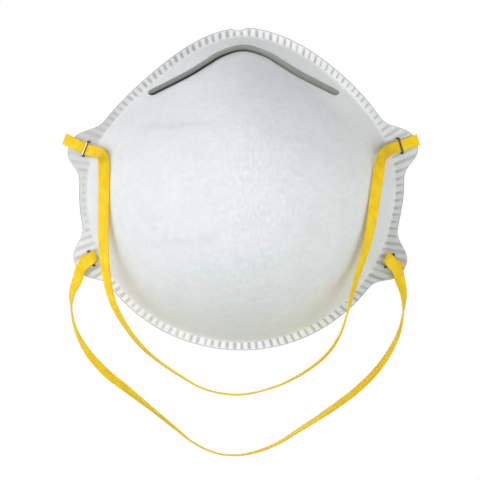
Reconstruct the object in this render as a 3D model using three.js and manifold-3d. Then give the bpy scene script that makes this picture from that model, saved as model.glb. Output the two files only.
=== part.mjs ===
// Disposable dust mask: a moulded cup with a ribbed welded rim, four ears and two stapled head straps.
// Millimetres. +X to the viewer's right, +Z up, the front of the cup towards -Y and the face behind it.
// The origin is the centre of the face opening, level with the nose and chin edges of the rim.

import * as THREE from 'three';
import Module from 'manifold-3d';
import { mergeVertices } from 'three/addons/utils/BufferGeometryUtils.js';

const wasm = await Module();
wasm.setup();

const fullTurn = 2 * Math.PI;
const degrees = THREE.MathUtils.degToRad;
const lerp = THREE.MathUtils.lerp;

// Rim, seen from the front
const rimRadius = 66.3;            // nose, cheek and chin edges from the centre
const flangeWidth = 3.6;           // welded border round the cup
const shoulderAngle = degrees(49); // middle of each drawn-in shoulder, above the horizontal
const shoulderSpread = degrees(47);
const leftShoulderDrop = 6.1;      // the left shoulder is drawn in further than the right one
const rightShoulderDrop = 3.9;
const leftCheekAngle = degrees(-25); // middle of the fuller part of each cheek
const leftCheekSpread = degrees(65);
const leftCheekSwell = 1.4;
const rightCheekAngle = degrees(5);
const rightCheekSpread = degrees(18);
const rightCheekSwell = 0.8;
const cheekSweep = 12.5;           // cheek edges behind the nose and chin edges
const notchAngle = degrees(91.1);   // locating nick in the edge above the nose
const notchDepth = 1;
const notchWidth = 4.4;

// Ears that carry the staples
const upperEarAngle = degrees(14.4);
const lowerEarAngle = degrees(-24.8);
const rightEarRise = degrees(0.9); // the right ears sit a little further from the middle than the left ones
const rightEarFall = degrees(1.2);
const upperEarReach = 7.8;
const lowerEarReach = 8.4;
const earBreadth = 14.6;
const earSquarenessShare = 3;      // power of the bump: 2 is a soft bell, more is squarer

// Cup wall and its layers, front to back
const cupDepth = 44;
const fullnessShare = 2.5;         // power of the profile: 2 is a paraboloid, more is blunter
const coverThickness = 0.6;
const filterThickness = 0.8;
const shellThickness = 1.2;
const coverFlange = 0.8;
const shellFlange = 0.7;
const shellSetback = 0.5;          // the shell's edge stops this far inside the cover's
const layerGap = 0.3;

// Embossed ribs of the welded rim
const ribPitch = 3.1;
const grooveWidth = 1.15;
const grooveDepth = 0.45;
const grooveSlope = 0.5;           // length of the sloping end of each groove
const gutterWidth = 0.5;           // plain band between the cup and the ribs
const edgeBand = 0.35;             // plain band between the ribs and the cut edge

// Nose clip outside, foam strip inside
const clipSpan = 77;
const clipShift = 0.6;             // middle of the clip to the right of the cup's middle
const clipDrop = 18.3;             // ends of the clip below its middle
const clipBelowEdge = 5.7;         // middle of the clip below the cup's edge
const clipWidth = 4.2;
const clipThickness = 0.8;
const clipCurveShares = [[0, 0], [0.25, 0.15], [0.38, 0.32], [0.56, 0.555], [0.76, 0.765], [1, 1]];
const foamWidth = 10;
const foamThickness = 3.5;
const foamReachShare = 0.9;        // reach of the foam along the clip

// Straps, staples and the clearance between touching pieces
const strapWidth = 4.7;
const strapThickness = 0.7;
const wireThickness = 0.55;
const clinchLength = 2.2;
const clearance = 0.3;
const stapleInset = 7.2;           // staple from the ear's outer edge
const stapleSlack = 0.25;          // of each leg beside the strap
const foldSlack = 0.4;             // play in the folds over the lower staples
const bendTaper = 3;               // length of the thinned strap beside each bend
const bendGap = 0.4;
const bendTipShare = 0.1;
const overRunShares = [[0.2, 0.2], [0.85, 0.35]]; // of the strap's width: along and outwards past its staple

// Mesh counts
const frontColumns = 96;
const frontRows = 12;
const layerColumns = 48;
const layerRows = 8;
const rowSpacingShare = 1.25;      // power that crowds the rows towards the rim
const clipSteps = 32;
const foamSteps = 24;
const roundEndSteps = 4;
const wireSides = 8;
const loopSteps = 60;
const strapEndSteps = 18;
const routeDivisions = 16;         // samples of each span of a strap's route
const probeShare = 0.01;           // step for slopes, of a wire's radius

const wireRadius = wireThickness / 2;
const halfStrap = strapThickness / 2;
const legReach = strapWidth / 2 + clearance + stapleSlack + wireRadius;
const underLift = clearance + halfStrap;
const crownLift = underLift + halfStrap + clearance + wireRadius;
const overLift = crownLift + wireRadius + clearance + halfStrap;
const shellFlangeFront = coverFlange + layerGap;
const shellFlangeBack = shellFlangeFront + shellFlange;
const clinchLift = -(shellFlangeBack + clearance + wireRadius);
const filterFront = coverThickness + layerGap;
const filterBack = filterFront + filterThickness;
const shellFront = filterBack + layerGap;
const shellBack = shellFront + shellThickness;
const probe = wireRadius * probeShare;
const edgeProbeShare = 0.999;

const swells = [
  { angle: shoulderAngle, spread: shoulderSpread, growth: -rightShoulderDrop },
  { angle: Math.PI - shoulderAngle, spread: shoulderSpread, growth: -leftShoulderDrop },
  { angle: rightCheekAngle, spread: rightCheekSpread, growth: rightCheekSwell },
  { angle: Math.PI - leftCheekAngle, spread: leftCheekSpread, growth: leftCheekSwell },
];

// Each ear: side of the mask, level, growth past its pair's reach, tilt of the stapled strap (outward end
// up), length of the loose tail, and whether the strap folds back over its staple
const ears = [
  {
    name: 'upper_left', side: -1, angle: upperEarAngle,
    growth: 0, tilt: degrees(22.5), tail: 10.4, folded: false,
  },
  {
    name: 'upper_right', side: 1, angle: upperEarAngle + rightEarRise,
    growth: 1, tilt: degrees(16.5), tail: 8.5, folded: false,
  },
  {
    name: 'lower_left', side: -1, angle: lowerEarAngle,
    growth: -0.5, tilt: degrees(-22), tail: 4.9, folded: true,
  },
  {
    name: 'lower_right', side: 1, angle: lowerEarAngle - rightEarFall,
    growth: 0.1, tilt: degrees(-33), tail: 6, folded: true,
  },
];

// Outline of the rim and of the cup's edge, as distances from the centre

function turnBetween(a, b) {
  return Math.abs(Math.atan2(Math.sin(a - b), Math.cos(a - b)));
}

function earDirection(ear) {
  return ear.side > 0 ? ear.angle : Math.PI - ear.angle;
}

function earReach(ear) {
  return (ear.folded ? lowerEarReach : upperEarReach) + ear.growth;
}

function bump(turn, halfWidth, squareness) {
  return Math.exp(-Math.LN2 * (turn / halfWidth) ** squareness);
}

function bodyEdge(angle) {
  let radius = rimRadius;
  for (const { angle: middle, spread, growth } of swells) {
    const turn = turnBetween(angle, middle);
    if (turn < spread) radius += growth * Math.cos(fullTurn / 4 * turn / spread) ** 2;
  }
  return radius;
}

function cupEdge(angle) {
  return bodyEdge(angle) - flangeWidth;
}

function rimEdge(angle) {
  let radius = bodyEdge(angle);
  const halfEar = earBreadth / 2 / rimRadius;
  for (const ear of ears) {
    radius += earReach(ear) * bump(turnBetween(angle, earDirection(ear)), halfEar, earSquarenessShare);
  }
  const halfNotch = notchWidth / 2 / rimRadius;
  return radius - notchDepth * bump(turnBetween(angle, notchAngle), halfNotch, earSquarenessShare);
}

// Front surface of the cup and of its flange

function sweepAt(x) {
  return cheekSweep * (x / rimRadius) ** 2;
}

function frontAt(x, z) {
  const share = Math.hypot(x, z) / cupEdge(Math.atan2(z, x));
  const rise = share < 1 ? cupDepth * (1 - share ** fullnessShare) : 0;
  return new THREE.Vector3(x, sweepAt(x) - rise, z);
}

// Unit normal of the front surface, pointing back towards the face
function backwardNormal(x, z) {
  const slopeX = (frontAt(x + probe, z).y - frontAt(x - probe, z).y) / (2 * probe);
  const slopeZ = (frontAt(x, z + probe).y - frontAt(x, z - probe).y) / (2 * probe);
  return new THREE.Vector3(-slopeX, 1, -slopeZ).normalize();
}

function frontLifted(x, z, lift) {
  return frontAt(x, z).addScaledVector(backwardNormal(x, z), -lift);
}

// A point of a layer's surface, which lies inset behind the front of the cup
function wallPoint(angle, share, inset) {
  const reach = cupEdge(angle) * share;
  return frontLifted(reach * Math.cos(angle), reach * Math.sin(angle), -inset);
}

// Foot of that surface, where it meets a flange surface that lies behind the front of the rim
function footPoint(angle, inset, behind) {
  const reach = cupEdge(angle);
  const outward = new THREE.Vector3(Math.cos(angle), 0, Math.sin(angle));
  const near = outward.clone().multiplyScalar(reach * edgeProbeShare);
  const normal = backwardNormal(near.x, near.z);
  const sweepSlope = (sweepAt(near.x + probe) - sweepAt(near.x - probe)) / (2 * probe) * outward.x;
  const inward = (inset - behind * normal.y) / (-normal.dot(outward) - sweepSlope * normal.y);
  return flangePoint(angle, reach - inward, behind);
}

function flangePoint(angle, reach, behind) {
  const x = reach * Math.cos(angle);
  return new THREE.Vector3(x, sweepAt(x) + behind, reach * Math.sin(angle));
}

// Mesh made of rings that run round the mask, from the front of the cup over the rim to the back

class Skin {
  constructor() {
    this.places = [];
    this.faces = [];
  }

  add(point) {
    this.places.push(point.x, point.y, point.z);
    return this.places.length / 3 - 1;
  }

  ring(angles, pointAt) {
    return angles.map((angle) => ({ angle, id: this.add(pointAt(angle)) }));
  }

  // Stitches a ring to the one before it, whatever their counts
  bridge(ring, before) {
    let i = 0;
    let j = 0;
    while (i < ring.length || j < before.length) {
      const here = ring[i % ring.length].id;
      const there = before[j % before.length].id;
      const ringNext = nextAngle(ring, i);
      const beforeNext = nextAngle(before, j);
      if (j === before.length || (i < ring.length && ringNext <= beforeNext)) {
        this.faces.push(here, ring[(i + 1) % ring.length].id, there);
        i += 1;
      } else {
        this.faces.push(here, before[(j + 1) % before.length].id, there);
        j += 1;
      }
    }
  }

  chain(rings) {
    for (let k = 1; k < rings.length; k += 1) this.bridge(rings[k], rings[k - 1]);
  }

  closeFront(ring, point) {
    const apex = this.add(point);
    ring.forEach((corner, i) => this.faces.push(corner.id, ring[(i + 1) % ring.length].id, apex));
  }

  closeBack(ring, point) {
    const apex = this.add(point);
    ring.forEach((corner, i) => this.faces.push(ring[(i + 1) % ring.length].id, corner.id, apex));
  }

  // Fills the band between two rings of groove edges with lands and closed V grooves
  ribs(outer, inner) {
    for (let i = 0; i < outer.length; i += 2) {
      const [a, b, c] = [i, i + 1, (i + 2) % outer.length];
      const middle = (outer[a].angle + outer[b].angle) / 2;
      const start = cupEdge(middle) + gutterWidth + grooveSlope;
      const end = rimEdge(middle) - edgeBand - grooveSlope;
      const low = this.add(flangePoint(middle, start, grooveDepth));
      const high = this.add(flangePoint(middle, end, grooveDepth));
      this.faces.push(inner[a].id, low, inner[b].id);
      this.faces.push(inner[a].id, outer[a].id, high, inner[a].id, high, low);
      this.faces.push(low, high, outer[b].id, low, outer[b].id, inner[b].id);
      this.faces.push(outer[a].id, outer[b].id, high);
      this.faces.push(outer[b].id, outer[c].id, inner[b].id);
      this.faces.push(outer[c].id, inner[c].id, inner[b].id);
    }
  }

  geometry() {
    const made = new THREE.BufferGeometry();
    made.setAttribute('position', new THREE.Float32BufferAttribute(this.places, 3));
    made.setIndex(this.faces);
    return made;
  }
}

function nextAngle(ring, i) {
  return i + 1 < ring.length ? ring[i + 1].angle : ring[0].angle + fullTurn;
}

function evenAngles(count) {
  return Array.from({ length: count }, (_, i) => i * fullTurn / count);
}

function rowShares(rows) {
  return Array.from({ length: rows - 1 }, (_, row) => 1 - ((row + 1) / rows) ** rowSpacingShare);
}

// Rings of a wall from its middle out to its foot, front side first in the order of the chain
function wallRings(skin, columns, rows, inset) {
  const angles = evenAngles(columns);
  return rowShares(rows).reverse().map((share) => skin.ring(angles, (angle) => wallPoint(angle, share, inset)));
}

const ribCount = Math.round(fullTurn * rimRadius / ribPitch);
const rimAngles = evenAngles(ribCount);
const edgeAngles = evenAngles(2 * ribCount);
const grooveAngles = rimAngles.flatMap((angle) => {
  const middle = angle + fullTurn / ribCount / 2;
  const half = grooveWidth / rimRadius / 2;
  return [middle - half, middle + half];
});

function outerCover() {
  const skin = new Skin();
  const layerAngles = evenAngles(layerColumns);
  const front = wallRings(skin, frontColumns, frontRows, 0);
  skin.closeFront(front[0], wallPoint(0, 0, 0));
  const foot = skin.ring(evenAngles(frontColumns), (angle) => flangePoint(angle, cupEdge(angle), 0));
  const gutter = skin.ring(grooveAngles, (angle) => flangePoint(angle, cupEdge(angle) + gutterWidth, 0));
  skin.chain([...front, foot, gutter]);
  const ribEnd = skin.ring(grooveAngles, (angle) => flangePoint(angle, rimEdge(angle) - edgeBand, 0));
  skin.ribs(ribEnd, gutter);
  const edge = skin.ring(edgeAngles, (angle) => flangePoint(angle, rimEdge(angle), 0));
  const rear = skin.ring(edgeAngles, (angle) => flangePoint(angle, rimEdge(angle), coverFlange));
  const corner = skin.ring(layerAngles, (angle) => footPoint(angle, coverThickness, coverFlange));
  const inside = wallRings(skin, layerColumns, layerRows, coverThickness).reverse();
  skin.chain([ribEnd, edge, rear, corner, ...inside]);
  skin.closeBack(inside.at(-1), wallPoint(0, 0, coverThickness));
  return skin.geometry();
}

// The filter is a plain dome whose edge sits in the angle between the cover and the shell
function filterLayer() {
  const skin = new Skin();
  const angles = evenAngles(layerColumns);
  const front = wallRings(skin, layerColumns, layerRows, filterFront);
  skin.closeFront(front[0], wallPoint(0, 0, filterFront));
  const outerFoot = skin.ring(angles, (angle) => footPoint(angle, filterFront, coverFlange));
  const innerFoot = skin.ring(angles, (angle) => footPoint(angle, filterBack, coverFlange));
  const inside = wallRings(skin, layerColumns, layerRows, filterBack).reverse();
  skin.chain([...front, outerFoot, innerFoot, ...inside]);
  skin.closeBack(inside.at(-1), wallPoint(0, 0, filterBack));
  return skin.geometry();
}

function supportShell() {
  const skin = new Skin();
  const angles = evenAngles(layerColumns);
  const shellEdge = (angle) => rimEdge(angle) - shellSetback;
  const front = wallRings(skin, layerColumns, layerRows, shellFront);
  skin.closeFront(front[0], wallPoint(0, 0, shellFront));
  const foot = skin.ring(angles, (angle) => footPoint(angle, shellFront, shellFlangeFront));
  const edge = skin.ring(rimAngles, (angle) => flangePoint(angle, shellEdge(angle), shellFlangeFront));
  const rear = skin.ring(rimAngles, (angle) => flangePoint(angle, shellEdge(angle), shellFlangeBack));
  const corner = skin.ring(angles, (angle) => footPoint(angle, shellBack, shellFlangeBack));
  const inside = wallRings(skin, layerColumns, layerRows, shellBack).reverse();
  skin.chain([...front, foot, edge, rear, corner, ...inside]);
  skin.closeBack(inside.at(-1), wallPoint(0, 0, shellBack));
  return skin.geometry();
}

// Frame of a staple on its ear: along the strap to its tail, across it, and out of the front face
function earFrame(ear) {
  const reach = bodyEdge(earDirection(ear)) + earReach(ear) - stapleInset;
  const origin = flangePoint(earDirection(ear), reach, 0);
  const out = backwardNormal(origin.x, origin.z).negate();
  const along = new THREE.Vector3(ear.side * Math.cos(ear.tilt), 0, Math.sin(ear.tilt));
  along.addScaledVector(out, -along.dot(out)).normalize();
  return { origin, along, out, across: new THREE.Vector3().crossVectors(along, out) };
}

function inFrame(frame, along, across, lift) {
  return frame.origin.clone()
    .addScaledVector(frame.along, along)
    .addScaledVector(frame.across, across)
    .addScaledVector(frame.out, lift);
}

// Solid swept through stations, each a function that places a corner of the section
function sweep(stations, sectionShares) {
  const sides = sectionShares.length;
  const places = stations.flatMap((corner) => sectionShares.flatMap(([a, b]) => corner(a, b).toArray()));
  const faces = [];
  for (let k = 1; k < stations.length; k += 1) {
    for (let i = 0; i < sides; i += 1) {
      const [a, b] = [(k - 1) * sides + i, (k - 1) * sides + (i + 1) % sides];
      faces.push(a, b, b + sides, a, b + sides, a + sides);
    }
  }
  const last = (stations.length - 1) * sides;
  for (let i = 2; i < sides; i += 1) {
    faces.push(0, i, i - 1);
    faces.push(last, last + i - 1, last + i);
  }
  const made = new THREE.BufferGeometry();
  made.setAttribute('position', new THREE.Float32BufferAttribute(places, 3));
  made.setIndex(faces);
  return made;
}

function countedShares(steps) {
  return Array.from({ length: steps + 1 }, (_, i) => i / steps);
}

function flatStation(at, across, up) {
  return (a, b) => at.clone().addScaledVector(across, a).addScaledVector(up, b);
}

function roundSectionShares(sides) {
  return evenAngles(sides).map((angle) => [Math.cos(angle), Math.sin(angle)]);
}

const flatSectionShares = [[1, 1], [-1, 1], [-1, -1], [1, -1]];
const padSectionShares = [
  [1, -0.4], [1, 0.5], [0.75, 1], [-0.75, 1],
  [-1, 0.5], [-1, -0.4], [-0.5, -1], [0.5, -1],
];

// Staple wire, bent in one plane: crown over the strap, legs through the ear, tips clinched behind it
function staple(ear) {
  const frame = earFrame(ear);
  const corners = [
    [legReach - clinchLength, clinchLift],
    [legReach, clinchLift],
    [legReach, crownLift],
    [-legReach, crownLift],
    [-legReach, clinchLift],
    [clinchLength - legReach, clinchLift],
  ].map(([across, lift]) => inFrame(frame, 0, across, lift));
  const stations = corners.map((at, i) => {
    const arriving = at.clone().sub(corners[Math.max(i - 1, 0)]).normalize();
    const leaving = corners[Math.min(i + 1, corners.length - 1)].clone().sub(at).normalize();
    const tangent = arriving.clone().add(leaving).normalize();
    const bend = i === 0 || i === corners.length - 1 ? 1 : tangent.dot(leaving);
    const across = new THREE.Vector3().crossVectors(tangent, frame.along).multiplyScalar(wireRadius / bend);
    return flatStation(at, across, frame.along.clone().multiplyScalar(-wireRadius));
  });
  return sweep(stations, roundSectionShares(wireSides));
}

// Cuts the two leg holes of every staple through a flange

function toSolid(geometry) {
  const bare = mergeVertices(geometry);
  return new wasm.Manifold(new wasm.Mesh({
    numProp: 3,
    vertProperties: new Float32Array(bare.getAttribute('position').array),
    triVerts: new Uint32Array(bare.getIndex().array),
  }));
}

function toGeometry(solid) {
  const mesh = solid.getMesh();
  const made = new THREE.BufferGeometry();
  made.setAttribute('position', new THREE.Float32BufferAttribute(mesh.vertProperties, 3));
  made.setIndex(Array.from(mesh.triVerts));
  return made;
}

function legCutter(ear, side) {
  const frame = earFrame(ear);
  const radius = (wireRadius + clearance) / Math.cos(Math.PI / wireSides);
  const length = 2 * (crownLift - clinchLift);
  const bare = new THREE.CylinderGeometry(radius, radius, length, wireSides);
  bare.deleteAttribute('normal');
  bare.deleteAttribute('uv');
  const middle = inFrame(frame, 0, side * legReach, 0);
  const basis = new THREE.Matrix4().makeBasis(frame.across, frame.out, frame.across.clone().cross(frame.out));
  return toSolid(bare.applyMatrix4(basis).translate(middle.x, middle.y, middle.z));
}

function withStapleHoles(geometry) {
  let solid = toSolid(geometry);
  for (const ear of ears) {
    for (const side of [-1, 1]) solid = solid.subtract(legCutter(ear, side));
  }
  return toGeometry(solid);
}

// Nose clip and foam follow one curve over the bridge of the nose

const noseCurve = new THREE.CatmullRomCurve3([
  ...clipCurveShares.slice(1).reverse().map(([across, drop]) => clipCurvePoint(-across, drop)),
  ...clipCurveShares.map(([across, drop]) => clipCurvePoint(across, drop)),
]);

function clipCurvePoint(acrossShare, dropShare) {
  const top = cupEdge(fullTurn / 4) - clipBelowEdge;
  return new THREE.Vector3(clipShift + acrossShare * clipSpan / 2, 0, top - dropShare * clipDrop);
}

// Strip that follows the cup along the nose curve, with round ends, between two heights over the cup's front
function noseStrip(reachShare, width, backLift, frontLift, steps, sectionShares) {
  const length = noseCurve.getLength() * reachShare;
  const round = Array.from({ length: roundEndSteps }, (_, i) => {
    const turn = (i + 1) / (roundEndSteps + 1) * fullTurn / 4;
    return [width / 2 * (1 - Math.cos(turn)), Math.sin(turn)];
  });
  const straight = countedShares(steps).map((share) => [lerp(width / 2, length - width / 2, share), 1]);
  const all = [...round, ...straight, ...round.map(([from, share]) => [length - from, share]).reverse()];
  const stations = all.map(([from, widthShare]) => {
    const share = (1 - reachShare) / 2 + from / length * reachShare;
    const middle = noseCurve.getPointAt(share);
    const tangent = noseCurve.getTangentAt(share);
    const out = backwardNormal(middle.x, middle.z).negate();
    tangent.addScaledVector(out, -tangent.dot(out)).normalize();
    const across = new THREE.Vector3().crossVectors(out, tangent).multiplyScalar(width / 2 * widthShare);
    return (a, b) => {
      const { x, z } = middle.clone().addScaledVector(across, a);
      return frontLifted(x, z, lerp(backLift, frontLift, (b + 1) / 2));
    };
  });
  return sweep(stations, sectionShares);
}

function noseClip() {
  return noseStrip(1, clipWidth, clearance, clearance + clipThickness, clipSteps, flatSectionShares);
}

function noseFoam() {
  const frontLift = -(shellBack + clearance);
  const backLift = frontLift - foamThickness;
  return noseStrip(foamReachShare, foamWidth, backLift, frontLift, foamSteps, padSectionShares);
}

// Free run of the upper strap, left to right: across, depth, height, turn of its flat face in degrees.
// It climbs the flank of the cup, swings about the line through its two marked rows and hangs between them.
const upperRun = [
  [-60.6, 6.4, 15.3, 0],
  [-59.1, 1.6, 14.8, 0],
  [-57.6, -3.2, 13.9, 0],
  [-56.6, -5.6, 11.7, 0, 'bend'],
  [-56.4, -6.2, 3.5, 12],
  [-56.5, -6.3, -8.8, 22],
  [-56.6, -6.2, -21, 29],
  [-56, -5.9, -31, 39],
  [-54.6, -6, -40, 52],
  [-52, -6.1, -48.4, 61],
  [-46.5, -6.3, -57.7, 70],
  [-41.2, -6.5, -64.3, 74],
  [-35.8, -6.7, -69.2, 80],
  [-25.6, -7.1, -76.3, 84],
  [-14.8, -7.5, -82.1, 87],
  [-1.2, -7.9, -84.2, 87],
  [12.2, -8.2, -81.4, 87],
  [20.1, -8.4, -78.1, 84],
  [27.7, -8.7, -73.5, 82],
  [33.1, -8.9, -69.2, 80],
  [37.5, -9.2, -64, 80],
  [40.6, -9.4, -58.2, 84],
  [42.6, -9.6, -52, 86],
  [44.1, -9.8, -45.7, 75],
  [45.9, -10, -39.2, 67],
  [48.4, -10.1, -31.1, 58],
  [50.9, -10.2, -22.9, 47],
  [52.5, -10.2, -15, 36],
  [53.7, -9.9, -7, 22],
  [55, -8.7, 2, 22],
  [56.9, -5.6, 11.7, 14, 'bend'],
  [58.8, -2.6, 14.6, 0],
  [60.3, 2.2, 15.7, 0],
  [61.6, 7, 16.4, 0],
];

// Free run of the lower strap, in the same columns
const lowerRun = [
  [-68.2, 8.9, -38.3, 35, 'bend'],
  [-70.1, 8.7, -43.5, 64],
  [-70.3, 8.6, -49.6, 86],
  [-68.5, 8.6, -58.1, 77],
  [-63.6, 8.7, -67.3, 58],
  [-55.8, 8.8, -76, 49],
  [-47.1, 8.9, -82.9, 56],
  [-37.2, 9, -90.8, 72],
  [-27.9, 9.1, -98.4, 79],
  [-19.8, 9.1, -104.8, 87],
  [-10.5, 9.2, -109, 88],
  [-1.2, 9.2, -109.8, 88],
  [7.1, 9.2, -108, 86],
  [15.3, 9.1, -104.6, 83],
  [23.1, 9.1, -99.7, 78],
  [30.5, 9, -95, 72],
  [38.5, 9, -89.6, 65],
  [46.5, 8.9, -83.6, 62],
  [54.6, 8.8, -75.8, 63],
  [60.2, 8.7, -68.3, 69],
  [64.4, 8.6, -60, 79],
  [66.4, 8.6, -51.6, 85],
  [66.6, 8.7, -43.6, 58],
  [65.4, 8.9, -38.3, 34, 'bend'],
];

// Stapled end of a strap, tail first, with the way that its stapled face looks in each row.
// The lower straps fold back over their staples, so that their other face shows from there on.
function stapledEnd(ear) {
  const frame = earFrame(ear);
  const onStrap = (along, lift, face) => ({ place: inFrame(frame, along, 0, lift), face });
  const back = frame.out.clone().negate();
  const flat = [ear.tail, ear.tail / 2, 0].map((along) => onStrap(along, underLift, frame.out));
  if (!ear.folded) return flat;
  const foldLift = (underLift + overLift) / 2;
  const foldStart = wireRadius + clearance + strapThickness + foldSlack;
  return [
    ...flat,
    onStrap(-foldStart, underLift, frame.out),
    onStrap(-foldStart - foldLift + underLift, foldLift, frame.along),
    onStrap(-foldStart, overLift, back),
    ...overRunShares.map(([along, outwards]) => ({
      place: inFrame(frame, along * strapWidth, outwards * ear.side * strapWidth, overLift),
      face: back,
    })),
  ];
}

// Route of a whole strap through its ends and its free run, measured along its middle line
function strapRoute(leftEar, rightEar, run) {
  const left = stapledEnd(leftEar);
  const right = stapledEnd(rightEar).reverse();
  const free = run.map(([x, y, z]) => ({ place: new THREE.Vector3(x, y, z) }));
  const rows = [...left, ...free, ...right];
  const curve = new THREE.CatmullRomCurve3(rows.map((row) => row.place), false, 'centripetal');
  const spans = rows.length - 1;
  curve.arcLengthDivisions = spans * routeDivisions;
  const lengths = curve.getLengths();
  const otherFace = leftEar.folded ? -1 : 1;
  run.forEach(([, , , turn], i) => {
    const tangent = curve.getTangent((left.length + i) / spans);
    free[i].face = frontFace(tangent).applyAxisAngle(tangent, degrees(turn)).multiplyScalar(otherFace);
  });
  const bends = [];
  run.forEach((row, i) => {
    if (row[4]) bends.push(lengths[(left.length + i) * routeDivisions]);
  });
  return { curve, rows, spans, bends, length: lengths.at(-1) };
}

function frontFace(tangent) {
  const face = new THREE.Vector3(0, -1, 0);
  return face.addScaledVector(tangent, -face.dot(tangent)).normalize();
}

function strapAxes(route, distance) {
  const share = distance / route.length;
  const place = route.curve.getUtoTmapping(share) * route.spans;
  const before = Math.min(Math.floor(place), route.spans - 1);
  const face = route.rows[before].face.clone().lerp(route.rows[before + 1].face, place - before);
  const tangent = route.curve.getTangentAt(share);
  face.addScaledVector(tangent, -face.dot(tangent)).normalize();
  const across = new THREE.Vector3().crossVectors(face, tangent);
  return { at: route.curve.getPointAt(share), across, face, tangent };
}

function strapStation({ at, across, face }) {
  return flatStation(at, across.multiplyScalar(strapWidth / 2), face.multiplyScalar(halfStrap));
}

// Thin tip of a stretch, laid along the line that the loop swings about, so that it turns clear of its neighbour
function tipStation(route, bend, next) {
  const { at, across, tangent } = strapAxes(route, bend);
  const inward = next.at.clone().sub(at).setX(0).normalize();
  const lineShare = across.x - across.z * tangent.x / tangent.z;
  const line = new THREE.Vector3(strapWidth / 2 * lineShare, 0, 0);
  const up = new THREE.Vector3().crossVectors(inward, line).normalize();
  up.multiplyScalar(Math.sign(up.dot(next.face)) * halfStrap * bendTipShare);
  return flatStation(at.addScaledVector(inward, bendGap / 2), line, up);
}

// Stretch of strap between two distances, each of them a bend or a cut end
function strapStretch(route, from, to, steps) {
  const atBend = (distance) => route.bends.includes(distance);
  const full = [atBend(from) ? from + bendTaper : from, atBend(to) ? to - bendTaper : to];
  const axes = countedShares(steps).map((share) => strapAxes(route, lerp(...full, share)));
  const tips = [
    atBend(from) ? [tipStation(route, from, axes[0])] : [],
    atBend(to) ? [tipStation(route, to, axes.at(-1))] : [],
  ];
  return sweep([...tips[0], ...axes.map(strapStation), ...tips[1]], flatSectionShares);
}

const group = new THREE.Group();
function add(name, geometry, color, roughness, metalness) {
  geometry.computeVertexNormals();
  const mesh = new THREE.Mesh(geometry, new THREE.MeshStandardMaterial({ color, roughness, metalness }));
  mesh.name = name;
  group.add(mesh);
}

add('outer_cover', withStapleHoles(outerCover()), 0xf1f2ef, 0.9, 0);
add('filter_layer', filterLayer(), 0xf6f6f3, 0.95, 0);
add('support_shell', withStapleHoles(supportShell()), 0xecedea, 0.9, 0);
add('nose_clip', noseClip(), 0x9c9f98, 0.4, 0.9);
add('nose_foam', noseFoam(), 0x6b6e72, 1, 0);
for (const ear of ears) add(`staple_${ear.name}`, staple(ear), 0x8d9092, 0.35, 1);

function addStrap(level, leftEar, rightEar, run) {
  const route = strapRoute(leftEar, rightEar, run);
  const [leftBend, rightBend] = route.bends;
  function addStretch(name, from, to, steps) {
    add(name, strapStretch(route, from, to, steps), 0xf6c521, 0.5, 0);
  }
  addStretch(`${level}_strap`, leftBend, rightBend, loopSteps);
  addStretch(`${level}_strap_end_left`, 0, leftBend, strapEndSteps);
  addStretch(`${level}_strap_end_right`, rightBend, route.length, strapEndSteps);
}

addStrap('upper', ears[0], ears[1], upperRun);
addStrap('lower', ears[2], ears[3], lowerRun);

export default group;
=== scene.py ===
from bisect import bisect
from math import atan2, cos, exp, floor, hypot, log, pi, radians, sin, sqrt, tan

import bmesh
import bpy
from mathutils import Matrix, Quaternion, Vector, noise


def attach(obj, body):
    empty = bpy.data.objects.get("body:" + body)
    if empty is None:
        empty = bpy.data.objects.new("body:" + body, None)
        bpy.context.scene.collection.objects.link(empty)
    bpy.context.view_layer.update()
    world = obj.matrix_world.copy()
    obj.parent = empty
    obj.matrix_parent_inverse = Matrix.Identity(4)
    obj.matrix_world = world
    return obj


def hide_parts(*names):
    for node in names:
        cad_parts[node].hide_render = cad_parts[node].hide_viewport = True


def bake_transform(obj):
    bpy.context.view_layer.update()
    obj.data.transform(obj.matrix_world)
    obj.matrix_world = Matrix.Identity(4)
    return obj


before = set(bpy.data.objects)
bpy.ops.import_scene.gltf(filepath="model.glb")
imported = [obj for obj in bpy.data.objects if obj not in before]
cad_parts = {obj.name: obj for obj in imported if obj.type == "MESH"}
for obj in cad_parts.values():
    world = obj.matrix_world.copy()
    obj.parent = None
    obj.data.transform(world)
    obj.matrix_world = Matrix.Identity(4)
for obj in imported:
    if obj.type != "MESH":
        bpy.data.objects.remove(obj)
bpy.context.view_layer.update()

MM = 0.001
scene = bpy.context.scene

# CAMERA
# A long lens straight in front of the mask, as the photograph was taken: its middle is a little left of the
# mask's own and 21 mm below it, so that both hanging straps are in the picture.
PIXEL = 0.41 * MM
PICTURE_PIXELS = 480
CAMERA_DISTANCE = 1.6
CAMERA_CENTRE = (-0.82 * MM, -21.1 * MM)
SENSOR = 36

camera = bpy.data.objects.new("front_camera", bpy.data.cameras.new("front_camera"))
camera.data.sensor_width = SENSOR
camera.data.lens = SENSOR * CAMERA_DISTANCE / (PICTURE_PIXELS * PIXEL)
camera.location = (CAMERA_CENTRE[0], -CAMERA_DISTANCE, CAMERA_CENTRE[1])
camera.rotation_euler = (pi / 2, 0, 0)
scene.collection.objects.link(camera)
scene.camera = camera

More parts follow.
